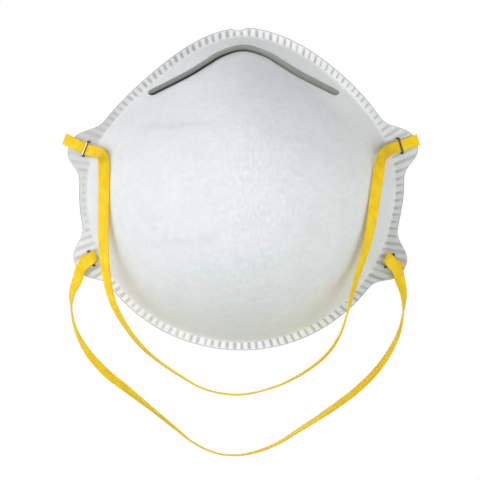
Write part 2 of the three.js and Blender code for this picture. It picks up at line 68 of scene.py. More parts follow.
# OUTER COVER
# Soft white needle-punched nonwoven, thermoformed over a dome and welded to the layers behind it in a flat rim,
# where an ultrasonic horn presses a rib every 3 mm. Four ears of the same welded border carry the staples.
RIM_RADIUS = 66.3 * MM
FLANGE_WIDTH = 3.6 * MM
CHEEK_SWEEP = 12.5 * MM
CUP_DEPTH = 44 * MM
CUP_FULLNESS = 2.5
FOOT_SOFTNESS = 0.45 * MM        # rounding where the cup rises from the rim
FOOT_REACH = 12 * FOOT_SOFTNESS  # rise above which that rounding comes to nothing
UPPER_EAR_REACH = 7.8 * MM
LOWER_EAR_REACH = 8.4 * MM
EAR_BREADTH = 14.6 * MM
EAR_HALF_TURN = EAR_BREADTH / 2 / RIM_RADIUS
EAR_SQUARENESS = 3
EAR_RIPPLE = 0.12 * MM
NOTCH_ANGLE = radians(91.1)
NOTCH_DEPTH = 1 * MM
NOTCH_WIDTH = 4.4 * MM
NOTCH_HALF_TURN = NOTCH_WIDTH / 2 / RIM_RADIUS
RIB_PITCH = 3.1 * MM
RIB_COUNT = round(2 * pi * RIM_RADIUS / RIB_PITCH)
GROOVE_DEPTH = 0.5 * MM
GROOVE_SQUARENESS = 3
FOLD_HEIGHT = 0.15 * MM
STAPLE_INSET = 7.2 * MM          # from the end of an ear to its staple
LEG_REACH = 3.175 * MM           # from the middle of a staple to either leg
PUCKER_RADIUS = 0.78 * MM        # of the felt that a leg draws in
PUCKER_DEPTH = 0.3 * MM
COVER_WALL = 0.6 * MM
COVER_FLANGE = 0.9 * MM

# Middle angle, spread and growth of each place where the rim leaves its circle: shoulders drawn in, cheeks out
SWELLS = [
    (radians(49), radians(47), -3.9 * MM),
    (radians(131), radians(47), -6.1 * MM),
    (radians(5), radians(18), 0.8 * MM),
    (radians(205), radians(65), 1.4 * MM),
]


class Ear:
    """A stapled ear: its side and direction, its reach beyond the rim, and its strap's tilt, tail and fold."""

    def __init__(self, name, side, angle, reach, tilt, tail, folded):
        self.name, self.side, self.tilt, self.tail, self.folded = name, side, radians(tilt), tail * MM, folded
        self.reach = reach
        self.direction = radians(angle) if side > 0 else pi - radians(angle)


# Name, side, angle above the horizontal, reach, tilt of the strap, length of its loose tail in mm, and whether the
# strap folds back over its staple. Tilts and angles are in degrees.
EARS = [
    Ear("upper_left", -1, 14.4, UPPER_EAR_REACH, 22.5, 10.4, False),
    Ear("upper_right", 1, 15.3, UPPER_EAR_REACH + 1 * MM, 16.5, 8.5, False),
    Ear("lower_left", -1, -24.8, LOWER_EAR_REACH - 0.5 * MM, -22, 4.9, True),
    Ear("lower_right", 1, -26, LOWER_EAR_REACH + 0.1 * MM, -33, 6, True),
]


def turn_between(a, b):
    """The angle between two directions, half a turn at most."""
    return abs(atan2(sin(a - b), cos(a - b)))


def bump(distance, half_width, squareness):
    """A smooth bump: 1 in its middle, half at the half width and then down to 0."""
    return exp(-log(2) * (distance / half_width) ** squareness)


def near(angle, middle, half_width, squareness=4):
    """How near a direction is to a middle one, from 0 to 1. The middle and the half width are in degrees."""
    return bump(turn_between(angle, radians(middle)), radians(half_width), squareness)


def body_edge(angle):
    """Radius of the rim without its ears and its notch."""
    radius = RIM_RADIUS
    for middle, spread, growth in SWELLS:
        turn = turn_between(angle, middle)
        if turn < spread:
            radius += growth * cos(pi / 2 * turn / spread) ** 2
    return radius


def cup_edge(angle):
    """Radius at which the cup meets the rim."""
    return body_edge(angle) - FLANGE_WIDTH


def ear_shares(angle):
    """How far a direction lies in each of the ears, from 0 to 1."""
    return [bump(turn_between(angle, ear.direction), EAR_HALF_TURN, EAR_SQUARENESS) for ear in EARS]


def ear_share(angle):
    """How far a direction lies in any ear, from 0 to 1."""
    return min(sum(ear_shares(angle)), 1)


def rim_edge(angle):
    """Radius of the outer edge of the rim, with its ears and its notch."""
    radius = body_edge(angle)
    for ear, share in zip(EARS, ear_shares(angle)):
        radius += ear.reach * share
    return radius - NOTCH_DEPTH * bump(turn_between(angle, NOTCH_ANGLE), NOTCH_HALF_TURN, EAR_SQUARENESS)


def sweep_at(x):
    """How far back the rim lies, which sweeps towards the face at the cheeks."""
    return CHEEK_SWEEP * (x / RIM_RADIUS) ** 2


def front_at(x, z):
    """Front surface of the cup, which runs smoothly into the plane of the rim."""
    share = hypot(x, z) / cup_edge(atan2(z, x))
    rise = CUP_DEPTH * (1 - share ** CUP_FULLNESS)
    if rise < FOOT_REACH:
        rise = FOOT_SOFTNESS * log(1 + exp(rise / FOOT_SOFTNESS))
    return Vector((x, sweep_at(x) - rise, z))


def out_of_front(x, z):
    """Unit normal of the front surface, towards the viewer."""
    step = 0.05 * MM
    slope_x = (front_at(x + step, z).y - front_at(x - step, z).y) / (2 * step)
    slope_z = (front_at(x, z + step).y - front_at(x, z - step).y) / (2 * step)
    return Vector((slope_x, -1, slope_z)).normalized()


def lifted(x, z, lift):
    """The point at a height above the front surface."""
    return front_at(x, z) + out_of_front(x, z) * lift


def smoothstep(low, high, value):
    """Runs smoothly from 0 at low to 1 at high. low may be the greater one."""
    share = min(max((value - low) / (high - low), 0), 1)
    return share * share * (3 - 2 * share)


def lerp(a, b, share):
    """The value that lies a share of the way from a to b."""
    return a + (b - a) * share


# The stretches of the rim painted greyer: the two right ears, with painted shadow under the lower one's strap fold,
# the left shoulder, the upper left ear and the left cheek. Middle angle and half width, in degrees, and greyness.
GREY_STRETCHES = [
    (-27, 24, 0.7),
    (14, 27, 0.4),
    (117, 20, 0.5),
    (155, 12, 0.7),
    (184, 15, 0.55),
]
PLAIN_WHITENESS = 0.94           # of the rest of the rim

# Middle angle and half width, in degrees, of the stretches where the grooves are pressed less or more deeply, and
# the change of their depth
GROOVE_BITES = [
    (157, 14, -0.55),
    (183, 12, -0.35),
    (235, 18, -0.25),
    (278, 16, 0.25),
    (34, 17, -0.2),
]


def rim_whiteness(angle):
    """How white the welded rim is in a direction, from 0 to 1."""
    grey = sum(greyness * near(angle, middle, width, 2) for middle, width, greyness in GREY_STRETCHES)
    return max(PLAIN_WHITENESS - grey, 0)


def brow_light_at(angle):
    """How much painted light whitens the felt between the clip's right half and the rim, from 0 to 1."""
    return near(angle, 60, 27)


def shoulder_at(angle):
    """How near a direction is to the upper right shoulder, where the rim runs softly into the cup, from 0 to 1."""
    return near(angle, 34, 17)


def groove_at(angle, radius, inner, outer):
    """Depth share of the welded grooves at a point of the rim between its two edges.

    No two grooves are quite alike. On the right they lean, are narrower and run nearer to the edges. On the left
    cheek they are short and shallow, on the right one deepest at the cup, and on the ears wide and shallow.
    """
    right = smoothstep(-0.15, 0.45, cos(angle))
    ear = ear_share(angle)
    left_cheek = near(angle, 184, 15) * (1 - ear)
    right_cheek = near(angle, -2, 16) * (1 - ear)
    lean = tan(radians(13)) * right * (radius - inner - FLANGE_WIDTH / 2) / radius
    phase = (angle - lean) / (2 * pi) * RIB_COUNT
    index = floor(phase)
    vary = noise.noise(Vector((index * 1.71, 3.1, 0.4)))
    across = (phase - index - 0.5 + 0.09 * noise.noise(Vector((index * 2.3, 9.7, 1.1)))) * RIB_PITCH
    half = lerp(lerp(0.66, 0.46, right), 0.8, ear) * MM * (1 + 0.25 * vary)
    start = inner + lerp(lerp(0.55, 0.3, right), 1.3, left_cheek) * MM
    start += 0.9 * MM * shoulder_at(angle)
    end = outer - lerp(lerp(0.55, 0.4, right), 1.25, left_cheek) * MM
    soft = 0.45 * MM
    along = smoothstep(start - soft, start + soft, radius) * (1 - smoothstep(end - soft, end + soft, radius))
    depth = (1 + 0.3 * vary) * lerp(1, 0.7, ear) * lerp(1, 0.7, left_cheek)
    depth *= lerp(1, 1.3 - 1.1 * (radius - inner) / (outer - inner), right_cheek)
    depth *= 1 + sum(change * near(angle, middle, width, 2) for middle, width, change in GROOVE_BITES)
    return along * depth * exp(-(abs(across) / half) ** GROOVE_SQUARENESS)


def ear_frame(ear):
    """Where a staple sits on its ear: its middle, along the strap to its tail, across it, and out of the front."""
    reach = body_edge(ear.direction) + ear.reach - STAPLE_INSET
    x = reach * cos(ear.direction)
    middle = Vector((x, sweep_at(x), reach * sin(ear.direction)))
    out = Vector((2 * CHEEK_SWEEP * x / RIM_RADIUS ** 2, -1, 0)).normalized()
    along = Vector((ear.side * cos(ear.tilt), 0, sin(ear.tilt)))
    along = (along - out * along.dot(out)).normalized()
    return middle, along, along.cross(out), out


# Middle (x, z), rise, half length, half width and depth share of the creases that packing left in the cup
CREASES = [
    (-28 * MM, 25.4 * MM, 0.05, 13 * MM, 1.5 * MM, 1.2),
    (-24 * MM, -22 * MM, 0.12, 12 * MM, 2 * MM, 0.8),
    (20 * MM, 20 * MM, -0.1, 8 * MM, 1.2 * MM, 0.35),
]


def slack_at(x, z):
    """How loose the felt of the cup is, from 0 where the rim and the nose clip hold it taut to 1."""
    share = hypot(x, z) / cup_edge(atan2(z, x))
    return (1 - smoothstep(0.8, 0.95, share)) * (1 - smoothstep(29 * MM, 36 * MM, z))


def felt_fold(x, z):
    """Fine relief of the soft cup, from -1 in a crease to 1: the creases, and the wrinkles in its middle and low."""
    wrinkled = exp(-((x - 6 * MM) / (17 * MM)) ** 2 - ((z - 2 * MM) / (32 * MM)) ** 2)
    wrinkled += 0.45 * exp(-(x / (30 * MM)) ** 2 - ((z + 38 * MM) / (13 * MM)) ** 2)
    fold = (0.15 + 0.7 * wrinkled) * 1.6 * noise.noise(Vector((x / (1.05 * MM), z / (2.3 * MM), 7)))
    for x_middle, z_middle, rise, reach, width, depth in CREASES:
        across = (z - z_middle - rise * (x - x_middle)) / width
        fold -= depth * exp(-across ** 2) * bump(abs(x - x_middle), reach, 4)
    return fold * slack_at(x, z)


def felt_swell(x, z):
    """Slow unevenness of the soft cup, in metres."""
    uneven = 0.25 * noise.noise(Vector((x, z, 0)) / (17 * MM)) + 0.1 * noise.noise(Vector((x, z, 0)) / (7 * MM))
    return uneven * MM * slack_at(x, z)


LEG_HOLES = []
for ear in EARS:
    middle, along, across, out = ear_frame(ear)
    LEG_HOLES += [middle + across * LEG_REACH, middle - across * LEG_REACH]


def pucker_at(place):
    """How near a point of the rim is to a staple's leg, from 0 to 1."""
    nearest = min((place - hole).length for hole in LEG_HOLES)
    return exp(-(nearest / PUCKER_RADIUS) ** 2)


def add_mesh(name, bm, material, smooth_angle=40):
    """Makes a piece of a bmesh whose vertices are in place, with its material and its smoothed normals."""
    bmesh.ops.recalc_face_normals(bm, faces=bm.faces)
    mesh = bpy.data.meshes.new(name)
    bm.to_mesh(mesh)
    bm.free()
    mesh.shade_smooth()
    mesh.set_sharp_from_angle(angle=radians(smooth_angle))
    mesh.materials.append(material)
    piece = bpy.data.objects.new(name, mesh)
    scene.collection.objects.link(piece)
    return piece


# Rows of vertices across the front and back of the cup and across the rim, the share of the rim's width before its
# outer edge is rounded, and the section of that rounding
FRONT_ROWS = 84
BACK_ROWS = 28
FLANGE_ROWS = 14
FLANGE_FLAT = 0.94
EDGE_ROUNDING = [(1.97, 0.93), (1.99, 0.7), (2, 0.3), (2, -0.3), (1.99, -0.7), (1.97, -0.93)]


def moulded_layer(name, material, wall, flange, setback, ribbed_side):
    """A layer of the cup: its section is spun to a flat disc, which is then pressed to the cup, rim and ears.

    Across the disc, u runs from 0 to 1 on the cup and from 1 to 2 on the rim. Height is 1 in front and -1 behind.
    wall and flange are how far the layer's front and back lie behind the front of the cup and of the rim, setback
    how far its border lies inside the cover's. ribbed_side is 1 for ribs in front and less than 0 for ones behind.
    """
    border = [1 + i / FLANGE_ROWS * FLANGE_FLAT for i in range(FLANGE_ROWS + 1)]
    front = [(i / FRONT_ROWS, 1) for i in range(FRONT_ROWS)] + [(u, 1) for u in border]
    back = [(u, -1) for u in reversed(border)] + [(i / BACK_ROWS, -1) for i in reversed(range(BACK_ROWS))]
    bm = bmesh.new()
    verts = [bm.verts.new((u, 0, h)) for u, h in front + EDGE_ROUNDING + back]
    edges = [bm.edges.new(pair) for pair in zip(verts, verts[1:])]
    bmesh.ops.spin(bm, geom=verts + edges, cent=(0, 0, 0), axis=(0, 0, 1), angle=2 * pi, steps=2 * RIB_COUNT,
                   use_merge=True)
    bmesh.ops.remove_doubles(bm, verts=bm.verts, dist=1e-5)

    # The rows round the rim are cut finer, so that its ribs are clear
    rings = [e for e in bm.edges if all(v.co.xy.length > 0.97 for v in e.verts)
             and abs(e.verts[0].co.xy.length - e.verts[1].co.xy.length) < 1e-4
             and abs(e.verts[0].co.z - e.verts[1].co.z) < 1e-4]
    bmesh.ops.subdivide_edges(bm, edges=rings, cuts=3, use_grid_fill=True)
    weld, cut, pierced, rim, whiteness, fold, drawn = (
        bm.verts.layers.float.new(key)
        for key in ("weld", "cut_edge", "pierced", "rim", "whiteness", "fold", "brow_light"))
    for vert in bm.verts:
        u, angle, height = vert.co.xy.length, atan2(vert.co.y, vert.co.x), vert.co.z
        depth_share = (1 - height) / 2
        inner = cup_edge(angle)
        if u <= 1:
            x, z = inner * u * cos(angle), inner * u * sin(angle)
            # The fold also paints shade into the creases and light onto the crests, in the felt's material
            vert[fold] = felt_fold(x, z)
            place = lifted(x, z, felt_swell(x, z) + FOLD_HEIGHT * vert[fold] - lerp(*wall, depth_share))
            # Painted light between the clip's right half and the rim
            vert[drawn] = brow_light_at(angle) * smoothstep(0.8, 0.93, u)
        else:
            outer = rim_edge(angle) - setback
            radius = lerp(inner, outer, min(u - 1, 1))
            x, z = radius * cos(angle), radius * sin(angle)
            place = front_at(x, z) + Vector((0, lerp(*flange, depth_share), 0))
            place.y = lerp(lifted(x, z, -lerp(*wall, depth_share)).y, place.y, smoothstep(1, 1.12, u))
            groove = groove_at(angle, radius, inner, outer)
            vert[weld] = groove
            vert[rim] = smoothstep(1, 1.2 + 0.5 * shoulder_at(angle), u)
            vert[whiteness] = rim_whiteness(angle)
            # The same painted light on the rim there
            vert[drawn] = brow_light_at(angle)
            vert[cut] = smoothstep(0.34 * MM, 0.04 * MM, outer - radius)
            place.y += ear_share(angle) * EAR_RIPPLE * noise.noise(Vector((x, z, 0)) / (3.1 * MM))
            if height * ribbed_side > 0:
                place.y += ribbed_side * groove * GROOVE_DEPTH * abs(height)
            # The pucker also carries painted shade into each leg's hole, in the felt's material
            vert[pierced] = pucker_at(place)
            if height > 0:
                place.y += PUCKER_DEPTH * vert[pierced]
        vert.co = place
    return add_mesh(name, bm, material, 60)


def linear(hex_colour):
    """An sRGB hex colour as the linear RGBA that nodes take."""
    parts = [int(hex_colour[i:i + 2], 16) / 255 for i in (1, 3, 5)]
    return [c / 12.92 if c <= 0.04045 else ((c + 0.055) / 1.055) ** 2.4 for c in parts] + [1]


def new_material(name):
    """A material with its node tree and its shader."""
    material = bpy.data.materials.new(name)
    material.use_nodes = True
    return material, material.node_tree, material.node_tree.nodes["Principled BSDF"]


def node(tree, kind, inputs=(), **settings):
    """Adds a node with its settings. inputs are pairs of a socket and its value or the socket that feeds it."""
    made = tree.nodes.new("ShaderNode" + kind)
    for name, value in settings.items():
        setattr(made, name, value)
    for socket, value in inputs:
        if isinstance(value, bpy.types.NodeSocket):
            tree.links.new(value, made.inputs[socket])
        else:
            made.inputs[socket].default_value = value
    return made


def nonwoven(name, base, fibre_height):
    """Moulded nonwoven: a matt white felt of fine fibres, faintly cloudy, greyer and denser where it is welded."""
    material, tree, shader = new_material(name)

    # Clouds and tufts of fibres
    place = node(tree, "TexCoord").outputs["Object"]
    clouds = node(tree, "TexNoise", [("Vector", place), ("Scale", 95), ("Detail", 6), ("Roughness", 0.65)])
    wisps = node(tree, "Mapping", [("Vector", place), ("Scale", (0.4, 1, 1))])
    tufts = node(tree, "TexNoise", [("Vector", wisps.outputs[0]), ("Scale", 520), ("Detail", 4),
                                    ("Roughness", 0.6), ("Distortion", 0.6)])
    fibres = node(tree, "TexNoise", [("Vector", place), ("Scale", 2600), ("Detail", 4), ("Roughness", 0.7)])
    both = node(tree, "Math", [(0, clouds.outputs[0]), (1, tufts.outputs[0])], operation="ADD")
    shade = node(tree, "MapRange", [("Value", both.outputs[0]), ("From Min", 0.7), ("From Max", 1.3)])
    dim = [c * 0.91 for c in linear(base)[:3]] + [1]
    felt = node(tree, "Mix", [(0, shade.outputs[0]), (6, dim), (7, linear(base))], data_type="RGBA")

    # Painted shade in the creases, painted light on the crests and between the clip's right half and the rim
    folded = node(tree, "Attribute", attribute_name="fold").outputs["Fac"]
    crease_shading = node(tree, "MapRange", [("Value", folded), ("From Min", -1), ("From Max", 1), ("To Min", 0.93),
                                     ("To Max", 1.07)])
    felt = node(tree, "VectorMath", [(0, felt.outputs[2]), ("Scale", crease_shading.outputs[0])], operation="SCALE")
    drawn = node(tree, "Attribute", attribute_name="brow_light").outputs["Fac"]
    felt = node(tree, "Mix", [(0, drawn), (6, felt.outputs[0]), (7, linear("#FFFFFF"))], data_type="RGBA")

    # The welded rim, its greyer grooves, its cut edge and painted shade in the holes round the staples' legs
    pressed = node(tree, "Attribute", attribute_name="rim").outputs["Fac"]
    clean = node(tree, "Attribute", attribute_name="whiteness").outputs["Fac"]
    land = node(tree, "Mix", [(0, clean), (6, linear("#C3C7C2")), (7, linear("#FAFAF9"))], data_type="RGBA")
    felt = node(tree, "Mix", [(0, pressed), (6, felt.outputs[2]), (7, land.outputs[2])], data_type="RGBA")
    welded = node(tree, "Attribute", attribute_name="weld").outputs["Fac"]
    groove = node(tree, "Mix", [(0, clean), (6, linear("#9CA29E")), (7, linear("#C0C7C4"))], data_type="RGBA")
    felt = node(tree, "Mix", [(0, welded), (6, felt.outputs[2]), (7, groove.outputs[2])], data_type="RGBA")
    cut = node(tree, "Attribute", attribute_name="cut_edge").outputs["Fac"]
    felt = node(tree, "Mix", [(0, cut), (6, felt.outputs[2]), (7, linear("#858A86"))], data_type="RGBA")
    hole = node(tree, "Attribute", attribute_name="pierced").outputs["Fac"]
    painted_hole_shade = node(tree, "MapRange", [("Value", hole), ("From Min", 0.4), ("From Max", 0.75)])
    felt = node(tree, "Mix", [(0, painted_hole_shade.outputs[0]), (6, felt.outputs[2]), (7, linear("#2E2D2A"))], data_type="RGBA")
    tree.links.new(felt.outputs[2], shader.inputs["Base Color"])

    # Matt, with the faint sheen and the relief of its fibres
    shader.inputs["Roughness"].default_value = 0.92
    shader.inputs["Specular IOR Level"].default_value = 0.25
    shader.inputs["Sheen Weight"].default_value = 0.15
    shader.inputs["Sheen Roughness"].default_value = 0.6
    felted = node(tree, "Math", [(0, tufts.outputs[0]), (1, fibres.outputs[0])], operation="ADD")
    relief = node(tree, "Bump", [("Height", felted.outputs[0]), ("Strength", 0.6), ("Distance", fibre_height)])
    tree.links.new(relief.outputs[0], shader.inputs["Normal"])
    return material


cover_felt = nonwoven("needle_punched_nonwoven", "#EDEFEF", 0.14 * MM)
cover = moulded_layer("moulded_cover", cover_felt, wall=(0, COVER_WALL), flange=(0, COVER_FLANGE), setback=0,
                      ribbed_side=1)
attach(cover, "mask")
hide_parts("outer_cover")

# FILTER LAYER
# Melt-blown filter mat between the cover and the shell. It is shut in by both, so its CAD solid stays, with the
# even, slightly cloudy white of a mat of very fine fibres.
filter_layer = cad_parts["filter_layer"]
filter_mat, tree, shader = new_material("melt_blown_filter_mat")
place = node(tree, "TexCoord").outputs["Object"]
mat = node(tree, "TexNoise", [("Vector", place), ("Scale", 900), ("Detail", 5), ("Roughness", 0.65)])
cloud = node(tree, "Mix", [(0, mat.outputs[0]), (6, linear("#ECECE8")), (7, linear("#FAFAF7"))], data_type="RGBA")
tree.links.new(cloud.outputs[2], shader.inputs["Base Color"])
shader.inputs["Roughness"].default_value = 0.95
relief = node(tree, "Bump", [("Height", mat.outputs[0]), ("Strength", 0.4), ("Distance", 0.05 * MM)])
tree.links.new(relief.outputs[0], shader.inputs["Normal"])
filter_layer.data.materials.clear()
filter_layer.data.materials.append(filter_mat)

# SUPPORT SHELL
# Stiffer moulded nonwoven of coarser fibres that holds the cup's shape and faces the wearer. Its border is welded
# into the rim with the cover's, so the ribs show on it too, more softly.
shell_felt = nonwoven("thermobonded_shell_nonwoven", "#E3E5E3", 0.2 * MM)
shell = moulded_layer("moulded_shell", shell_felt, wall=(2 * MM, 3.2 * MM), flange=(0.98 * MM, 1.8 * MM),
                      setback=0.3 * MM, ribbed_side=-0.6)
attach(shell, "mask")
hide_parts("support_shell")

# NOSE CLIP
# Soft lacquered aluminium strip, 4.2 mm wide with rounded ends, glued over the bridge of the nose. It follows the
# cup and waves a little where it was pinched.
CLIP_SPAN = 77 * MM
CLIP_SHIFT = 0.6 * MM
CLIP_DROP = 18.3 * MM
CLIP_BELOW_EDGE = 5.7 * MM
CLIP_WIDTH = 4.2 * MM
CLIP_THICKNESS = 0.8 * MM
CLIP_LIFT = 0.3 * MM             # glue between the cover and the clip
CLIP_EDGE = 0.25 * MM            # rounding of its long edges
BLUNT_END = 0.02                 # share of a strip's width that its rounded ends keep
LINE_DIVISIONS = 16              # points of a smooth line to each span

# Half of the clip from its middle to its end: shares of the half span and of the drop
CLIP_CURVE = [(0, 0), (0.25, 0.15), (0.38, 0.32), (0.56, 0.555), (0.76, 0.765), (1, 1)]


def smooth_line(points):
    """Points of the centripetal Catmull-Rom curve through the given ones."""
    ends = [2 * points[0] - points[1]] + points + [2 * points[-1] - points[-2]]
    line = []
    for p0, p1, p2, p3 in zip(ends, ends[1:], ends[2:], ends[3:]):
        d0, d1, d2 = (max((b - a).length, 1e-9) ** 0.5 for a, b in ((p0, p1), (p1, p2), (p2, p3)))
        t1 = ((p1 - p0) / d0 - (p2 - p0) / (d0 + d1) + (p2 - p1) / d1) * d1
        t2 = ((p2 - p1) / d1 - (p3 - p1) / (d1 + d2) + (p3 - p2) / d2) * d1
        for i in range(LINE_DIVISIONS):
            s = i / LINE_DIVISIONS
            line.append(p1 + t1 * s + (-3 * p1 + 3 * p2 - 2 * t1 - t2) * s ** 2
                        + (2 * p1 - 2 * p2 + t1 + t2) * s ** 3)
    return line + [points[-1]]


class Course:
    """A line that a long piece is laid along, measured by distance. faces are the ways that its top looks there."""

    def __init__(self, line, faces=None):
        self.line, self.faces = line, faces
        self.reach = [0]
        for a, b in zip(line, line[1:]):
            self.reach.append(self.reach[-1] + (b - a).length)
        self.length = self.reach[-1]

    def at(self, distance):
        """The place, direction and top side at a distance."""
        i = min(max(bisect(self.reach, distance) - 1, 0), len(self.line) - 2)
        share = (distance - self.reach[i]) / (self.reach[i + 1] - self.reach[i])
        before, after = self.line[max(i - 1, 0):i + 2], self.line[i:i + 3]
        slope = (before[-1] - before[0]).normalized().lerp((after[-1] - after[0]).normalized(), share).normalized()
        place = self.line[i].lerp(self.line[i + 1], share)
        if not self.faces:
            return place, slope, None
        face = self.faces[i].lerp(self.faces[i + 1], share)
        return place, slope, (face - slope * face.dot(slope)).normalized()


def edges_along(bm, axis, length):
    """Edges that run along an axis for more than half of a length."""
    return [e for e in bm.edges if abs(e.verts[0].co[axis] - e.verts[1].co[axis]) > length / 2]


def flat_strip(length, width, thickness, steps, across_steps, rounding):
    """A straight strip from the origin along X, cut into steps, with rounded long edges.

    Its vertices keep their place on the flat strip as an attribute, which its material reads.
    """
    bm = bmesh.new()
    bmesh.ops.create_cube(bm, size=1)
    bmesh.ops.scale(bm, verts=bm.verts, vec=(length, width, thickness))
    bmesh.ops.translate(bm, verts=bm.verts, vec=(length / 2, 0, 0))
    bmesh.ops.bevel(bm, geom=edges_along(bm, 0, length), offset=rounding, segments=3, profile=0.5, affect="EDGES",
                    material=-1)
    bmesh.ops.subdivide_edges(bm, edges=edges_along(bm, 1, width), cuts=across_steps - 1, use_grid_fill=True)
    bmesh.ops.subdivide_edges(bm, edges=edges_along(bm, 0, length), cuts=steps - 1, use_grid_fill=True)
    flat = bm.verts.layers.float_vector.new("flat_place")
    for vert in bm.verts:
        vert[flat] = vert.co
    return bm


def lay_on_cup(bm, course, width, lift, start=0):
    """Bends a flat strip along a course over the cup, its zero height lifted from the front, and rounds its ends."""
    length = course.length - 2 * start
    for vert in bm.verts:
        x, y, z = vert.co
        middle, slope, _ = course.at(start + x)
        out = out_of_front(middle.x, middle.z)
        slope = (slope - out * slope.dot(out)).normalized()
        from_end = min(x, length - x, width / 2) / (width / 2)
        place = middle + out.cross(slope) * y * sqrt(max(1 - (1 - from_end) ** 2, BLUNT_END ** 2))
        vert.co = lifted(place.x, place.z, lift + z)


clip_top = cup_edge(pi / 2) - CLIP_BELOW_EDGE
clip_points = [Vector((CLIP_SHIFT + side * a * CLIP_SPAN / 2, 0, clip_top - drop * CLIP_DROP))
               for side, half in ((-1, CLIP_CURVE[:0:-1]), (1, CLIP_CURVE)) for a, drop in half]
clip_course = Course(smooth_line(clip_points))
clip_strip = flat_strip(clip_course.length, CLIP_WIDTH, CLIP_THICKNESS, 160, 6, CLIP_EDGE)

# Pinching left it a little bent and twisted, and its edges aren't quite straight
for vert in clip_strip.verts:
    x, y, z = vert.co
    wave = noise.noise(Vector((x / (9 * MM), 2.2, 0.5)))
    vert.co.y = y * (1 + 0.05 * noise.noise(Vector((x / (7 * MM), 0.3 + (y > 0), 4)))) + 0.12 * MM * wave
    vert.co.z = z + CLIP_THICKNESS / 2 + 0.06 * MM * wave * (y / CLIP_WIDTH)
lay_on_cup(clip_strip, clip_course, CLIP_WIDTH, CLIP_LIFT)

# Lacquered aluminium: a satin grey strip, faintly rolled along its length, with painted shade towards its lower edge
# and a nearly black painted shadow along that edge, both most on its left
clip_metal, tree, shader = new_material("satin_lacquered_aluminium")
flat = node(tree, "Attribute", attribute_name="flat_place").outputs["Vector"]
rolled = node(tree, "Mapping", [("Vector", flat), ("Scale", (0.08, 1, 1))])
grain = node(tree, "TexNoise", [("Vector", rolled.outputs[0]), ("Scale", 3000), ("Detail", 3)])
cloud = node(tree, "TexNoise", [("Vector", flat), ("Scale", 160), ("Detail", 4)])
sides = node(tree, "SeparateXYZ", [(0, flat)])
leftness = node(tree, "MapRange", [("Value", sides.outputs[0]), ("From Min", 62 * MM), ("From Max", 30 * MM),
                                   ("To Min", 0.3), ("To Max", 1)])
low = node(tree, "MapRange", [("Value", sides.outputs[1]), ("From Min", 2.8 * MM), ("From Max", -2 * MM)])
shaded = node(tree, "Math", [(0, leftness.outputs[0]), (1, low.outputs[0])], operation="MULTIPLY")
edge_shade = node(tree, "MapRange", [("Value", sides.outputs[1]), ("From Min", -1.6 * MM), ("From Max", -2 * MM)])
painted_edge_shadow = node(tree, "Math", [(0, leftness.outputs[0]), (1, edge_shade.outputs[0])], operation="MULTIPLY")
tone = node(tree, "Mix", [(0, cloud.outputs[0]), (6, linear("#80847C")), (7, linear("#969991"))], data_type="RGBA")
tone = node(tree, "Mix", [(0, shaded.outputs[0]), (6, tone.outputs[2]), (7, linear("#5A5E57"))], data_type="RGBA")
tone = node(tree, "Mix", [(0, painted_edge_shadow.outputs[0]), (6, tone.outputs[2]), (7, linear("#1E201D"))], data_type="RGBA")
tree.links.new(tone.outputs[2], shader.inputs["Base Color"])
shader.inputs["Metallic"].default_value = 0.55
gloss = node(tree, "MapRange", [("Value", grain.outputs[0]), ("To Min", 0.42), ("To Max", 0.58)])
tree.links.new(gloss.outputs[0], shader.inputs["Roughness"])
relief = node(tree, "Bump", [("Height", grain.outputs[0]), ("Strength", 0.3), ("Distance", 0.02 * MM)])
tree.links.new(relief.outputs[0], shader.inputs["Normal"])
clip = add_mesh("pinched_nose_clip", clip_strip, clip_metal)
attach(clip, "mask")
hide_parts("nose_clip")

# NOSE FOAM
# Strip of soft grey open-cell foam, 10 by 3.5 mm, glued inside the cup behind the clip to seal over the nose. It is
# cut from a sheet, a little shorter than the clip, and pressed thinner along its edges.
FOAM_WIDTH = 10 * MM
FOAM_THICKNESS = 3.5 * MM
FOAM_LENGTH = 0.9 * clip_course.length
FOAM_EDGE = 1.1 * MM             # rounding of its long edges
FOAM_THINNING = 0.12             # share of its thickness that is pressed out at its edges
FOAM_LIFT = -3.5 * MM            # its front, just behind the shell
foam_strip = flat_strip(FOAM_LENGTH, FOAM_WIDTH, FOAM_THICKNESS, 90, 8, FOAM_EDGE)
for vert in foam_strip.verts:
    x, y, z = vert.co
    vert.co.z = z * (1 - FOAM_THINNING * (2 * y / FOAM_WIDTH) ** 2) - FOAM_THICKNESS / 2
lay_on_cup(foam_strip, clip_course, FOAM_WIDTH, FOAM_LIFT, (clip_course.length - FOAM_LENGTH) / 2)

# Open-cell polyurethane: a dull grey foam whose pores show as fine dark dots
foam_cells, tree, shader = new_material("open_cell_polyurethane_foam")
place = node(tree, "TexCoord").outputs["Object"]
cells = node(tree, "TexVoronoi", [("Vector", place), ("Scale", 1800)])
pores = node(tree, "MapRange", [("Value", cells.outputs["Distance"]), ("From Min", 0.1), ("From Max", 0.6)])
tone = node(tree, "Mix", [(0, pores.outputs[0]), (6, linear("#4A4C4F")), (7, linear("#7A7D80"))], data_type="RGBA")
tree.links.new(tone.outputs[2], shader.inputs["Base Color"])
shader.inputs["Roughness"].default_value = 1
relief = node(tree, "Bump", [("Height", pores.outputs[0]), ("Strength", 0.8), ("Distance", 0.25 * MM)])
tree.links.new(relief.outputs[0], shader.inputs["Normal"])
foam = add_mesh("glued_nose_foam", foam_strip, foam_cells)
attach(foam, "mask")
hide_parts("nose_foam")

